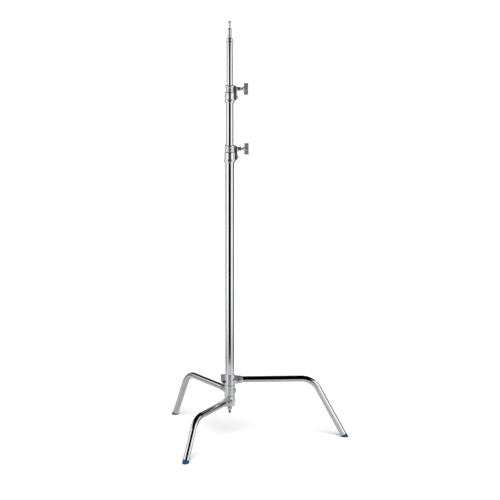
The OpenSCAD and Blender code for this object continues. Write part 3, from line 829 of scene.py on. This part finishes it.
def make_thrust_washers():
    """The washers above the two folding hubs."""
    low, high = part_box("hub_washers")
    thick = 1.1 * MM
    bm = bmesh.new()
    for z in (low.z, high.z - thick):
        section = pipe_section(21 * MM, BASE_R, z, z + thick, edge=0.2 * MM, steps=2)
        add_lathe(bm, section, at_column(), ring=True)
    piece(to_object(bm, "hub_thrust_washers"), "stand", STEEL, ["hub_washers"])


def make_detent(i):
    """A folding hub's detent plunger: a round nose at the column and a slotted head outside."""
    nose, r, head_r, slot_r = BASE_R + 0.3 * MM, 4 * MM, 5 * MM, 1.9 * MM
    seat, place = DETENT_SEAT[i], at_column(LEG_Z[i]) @ DETENT_TURN[i]
    top = seat + DETENT_HEAD[i]
    profile = [(0, nose), (1.6 * MM, nose + 0.2 * MM), (3.4 * MM, nose + 1.6 * MM), (r, nose + 2 * MM),
               (r, seat), (head_r, seat), (head_r, top - 0.6 * MM), (head_r - 0.6 * MM, top),
               (slot_r, top), (slot_r - 0.2 * MM, top - 1.5 * MM), (0, top - 1.6 * MM)]
    plunger = solid(f"{LEG_NAMES[i]}_detent_plunger", add_lathe, profile, place @ TO_X, 48)
    piece(plunger, LEG_BODY[i], CHROME, [f"{LEG_NAMES[i]}_detent"])


def make_cone_and_nut():
    """The cone washer under the hubs and the dome nut below it."""
    cone_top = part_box("cone_washer")[1].z
    stud_r, cone_r = 3 * MM, 10 * MM
    cone = [(stud_r, -CONE_H), (6.5 * MM, -CONE_H), (cone_r - 0.2 * MM, -3.2 * MM), (cone_r, -2.6 * MM),
            (cone_r, 0), (stud_r, 0)]
    section = rounded(cone, 0.5 * MM, 3, closed=True)
    washer = solid("hub_cone_washer", add_lathe, section, at_column(cone_top), 72, ring=True)
    piece(washer, "stand", CAST, ["cone_washer"])

    place = at_column(cone_top - CONE_H)
    centre, r = -8.2 * MM, 4.8 * MM
    ball = [(r * math.cos(a), centre + r * math.sin(a))
            for a in (math.radians(-90 + 9 * k) for k in range(13))]
    inside = [(3.6 * MM, -5.9 * MM), (stud_r, -5.9 * MM), (stud_r, -8 * MM), (0, -8 * MM)]
    bm = bmesh.new()
    add_nut(bm, 5 * MM, -6 * MM, 0, place, bore=stud_r)
    add_lathe(bm, [(0, ball[0][1]), *ball[1:], *inside], place, 48)
    piece(to_object(bm, "hub_dome_nut"), "stand", DARK_STEEL, ["dome_nut"], sharp=NUT_SHARP)


def make_hub_stud():
    """The threaded stud that holds the hubs up against the column."""
    low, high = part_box("hub_stud")
    stud = solid("hub_stud_thread", add_thread, 3 * MM, 1 * MM, low.z, high.z, at_column())
    piece(stud, "stand", STEEL, ["hub_stud"], sharp=THREAD_SHARP)


def make_hub_spring():
    """The coil spring round the hub stud."""
    low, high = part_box("hub_spring")
    wire, coil_r, coils, steps = 0.9 * MM, 7.2 * MM, 4, 32
    rise = high.z - low.z - 2 * wire
    path = []
    for k in range(coils * steps + 1):
        a = 2 * math.pi * k / steps
        z = low.z + wire + rise * k / (coils * steps)
        path.append(at_column() @ Vector((coil_r * math.cos(a), coil_r * math.sin(a), z)))
    spring = solid("hub_coil_spring", add_sweep, path, wire, 16)
    piece(spring, "stand", STEEL, ["hub_spring"])


def dress_hidden_nodes():
    """The CAD nodes that stay as they are, inside the tubes and castings, get their materials."""
    kept = {
        "nylon": (NYLON, ["riser_1_plug", "riser_2_plug", "riser_1_guide", "riser_2_guide"]),
        "brass": (BRASS, ["brake_shoe_1", "brake_shoe_2"]),
        "steel": (STEEL, ["column_plug", "spigot_pin"]),
    }
    for slot, (material, names) in kept.items():
        for name in names:
            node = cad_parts[name]
            node.data.materials.clear()
            node.data.materials.append(material)


# ---- stage ----
def make_camera():
    """The camera at the photograph's viewing angle."""
    data = bpy.data.cameras.new("camera")
    data.sensor_width = CAMERA_SENSOR
    data.lens = CAMERA_LENS
    data.shift_x = CAMERA_SHIFT
    data.clip_end = CAMERA_CLIP
    camera = bpy.data.objects.new("camera", data)
    toward = Vector((math.sin(CAMERA_TURN), -math.cos(CAMERA_TURN), 0))
    camera.location = COLUMN + toward * CAMERA_REACH + Vector((0, 0, CAMERA_Z))
    camera.rotation_euler = (math.pi / 2 - CAMERA_PITCH, 0, CAMERA_TURN)
    bpy.context.scene.collection.objects.link(camera)
    bpy.context.scene.camera = camera


def plain_material(name, grey, roughness):
    """A matt grey for the stage."""
    material = bpy.data.materials.new(name)
    material.use_nodes = True
    shader = material.node_tree.nodes["Principled BSDF"]
    shader.inputs["Base Color"].default_value = (grey, grey, grey, 1)
    shader.inputs["Roughness"].default_value = roughness
    shader.inputs["Specular IOR Level"].default_value = 0.1
    return material


def make_floor():
    """The pale floor that the stand's feet are on."""
    floor = solid("floor", bmesh.ops.create_grid, x_segments=1, y_segments=1, size=FLOOR_REACH)
    floor.data.materials.append(plain_material("pale_floor", FLOOR_GREY, FLOOR_ROUGHNESS))


def glow(n, colour=None):
    """Turns a helper's material into a plain light source, white unless a colour is given."""
    n.tree.nodes.remove(n.shader)
    emission = n.add("ShaderNodeEmission")
    emission.inputs["Color"].default_value = (1, 1, 1, 1)
    if colour is not None:
        n.link(colour, emission.inputs["Color"])
    n.link(emission.outputs["Emission"], n.tree.nodes["Material Output"].inputs["Surface"])
    return n.material


def by_bearing(n, levels):
    """Brightness by bearing round the column."""
    place = n.xyz()
    bearing = n.math("ARCTAN2", place["X"], n.math("MULTIPLY", place["Y"], -1))
    share = n.span(bearing, 0, 1, -math.pi, math.pi)
    return n.ramp(share, [((degrees + 180) / 360, (level,) * 3) for degrees, level in levels])


def by_distance(n, share, levels):
    """Brightness by distance from the column, given as a share of the stops' reach."""
    return n.ramp(share, [(metres / FLOOR_STOPS_REACH, (level,) * 3) for metres, level in levels])


def wall_glow():
    """Walls lit to head height all round, and higher at the sides, so what faces up mirrors black."""
    n = Nodes("room_wall_glow")
    z = n.xyz()["Z"]
    low = n.math("MULTIPLY", by_bearing(n, LOW_WALL), n.span(z, 1, 0, *LOW_FADE))
    band = n.math("MULTIPLY", n.span(z, 0, 1, *HIGH_START), n.span(z, 1, 0, *HIGH_END))
    high = n.math("MULTIPLY", by_bearing(n, HIGH_WALL), band)
    return glow(n, n.math("MAXIMUM", low, high))


def floor_glow():
    """Grey round the stand, fading into the pattern of the walls further out."""
    n = Nodes("room_floor_glow")
    length = n.add("ShaderNodeVectorMath", operation="LENGTH")
    n.link(n.coords, length.inputs[0])
    distance = length.outputs["Value"]
    brighter = n.span(distance, PATTERN_START_LEVEL, 1, PATTERN_START, PATTERN_END)
    far = n.mix(1, by_bearing(n, LOW_WALL), brighter, blend="MULTIPLY")
    share = n.span(distance, 0, 1, 0, FLOOR_STOPS_REACH)
    near, pattern = by_distance(n, share, FLOOR_LEVELS), by_distance(n, share, FLOOR_PATTERN)
    return glow(n, n.mix(pattern, near, far))


def make_room():
    """Walls, floor and ceiling that only reflections see, as the studio round the stand."""
    disc = {"cap_ends": True, "segments": STAGE_SIDES, "radius": ROOM_RADIUS}
    wall_line = [(ROOM_RADIUS, ROOM_FOOT), (ROOM_RADIUS, ROOM_HEIGHT)]
    wall = solid("room_wall", add_lathe, wall_line, at(), STAGE_SIDES)
    wall.data.materials.append(wall_glow())
    floor = solid("room_floor", bmesh.ops.create_circle, **disc)
    floor.data.materials.append(floor_glow())
    ceiling = solid("room_ceiling", bmesh.ops.create_circle, **disc)
    ceiling.data.materials.append(plain_material("room_black", 0, 1.0))
    turn = Matrix.Rotation(CAMERA_TURN, 4, "Z")
    for side_of_room, z in ((wall, 0), (floor, ROOM_FLOOR_LIFT), (ceiling, ROOM_HEIGHT)):
        side_of_room.matrix_world = at_column(z) @ turn
        side_of_room.visible_camera = False
        side_of_room.visible_diffuse = False
        side_of_room.visible_shadow = False


def make_backdrop():
    """A white backdrop far off, which lights nothing and is seen only past the floor's horizon."""
    line = [(BACKDROP_RADIUS, BACKDROP_FOOT), (BACKDROP_RADIUS, BACKDROP_HEIGHT), (0, BACKDROP_HEIGHT)]
    backdrop = solid("backdrop", add_lathe, line, at(), STAGE_SIDES)
    backdrop.data.materials.append(glow(Nodes("backdrop_white")))
    backdrop.visible_diffuse = False
    backdrop.visible_glossy = False
    backdrop.visible_shadow = False


def make_light():
    """An even pale sky, and a wide soft light from above the camera that lays the shadows behind."""
    world = bpy.data.worlds.new("studio")
    bpy.context.scene.world = world
    world.use_nodes = True
    background = world.node_tree.nodes["Background"]
    background.inputs["Color"].default_value = (1, 1, 1, 1)
    background.inputs["Strength"].default_value = SKY_STRENGTH
    data = bpy.data.lights.new("soft_sun", "SUN")
    data.energy = SUN_STRENGTH
    data.angle = SUN_SPREAD
    light = bpy.data.objects.new("soft_sun", data)
    light.rotation_euler = SUN_DIRECTION.to_track_quat("-Z", "Y").to_euler()
    light.visible_glossy = False
    bpy.context.scene.collection.objects.link(light)
    bpy.context.scene.view_settings.view_transform = "Standard"


# ---- the whole stand ----
make_tube("base_column", "stand", BASE_R, BASE_WALL)
for riser in (1, 2):
    make_tube(f"riser_{riser}", f"riser_{riser}", RISER_R[riser], RISER_WALL)
for collar in (1, 2):
    make_collar_casting(collar)
    make_collar_bush(collar)
    make_collar_screw(collar)
    make_handle(collar)
    make_handle_screw(collar)
make_cap()
make_stud()
make_top_hub()
make_mid_hub()
make_bottom_hub()
for leg in range(3):
    make_leg_tube(leg)
    make_rivet(leg)
    make_foot(leg)
make_pinch_bolt()
make_thrust_washers()
for folding_hub in (1, 2):
    make_detent(folding_hub)
make_cone_and_nut()
make_hub_stud()
make_hub_spring()
dress_hidden_nodes()
make_floor()
make_light()
make_room()
make_backdrop()
make_camera()
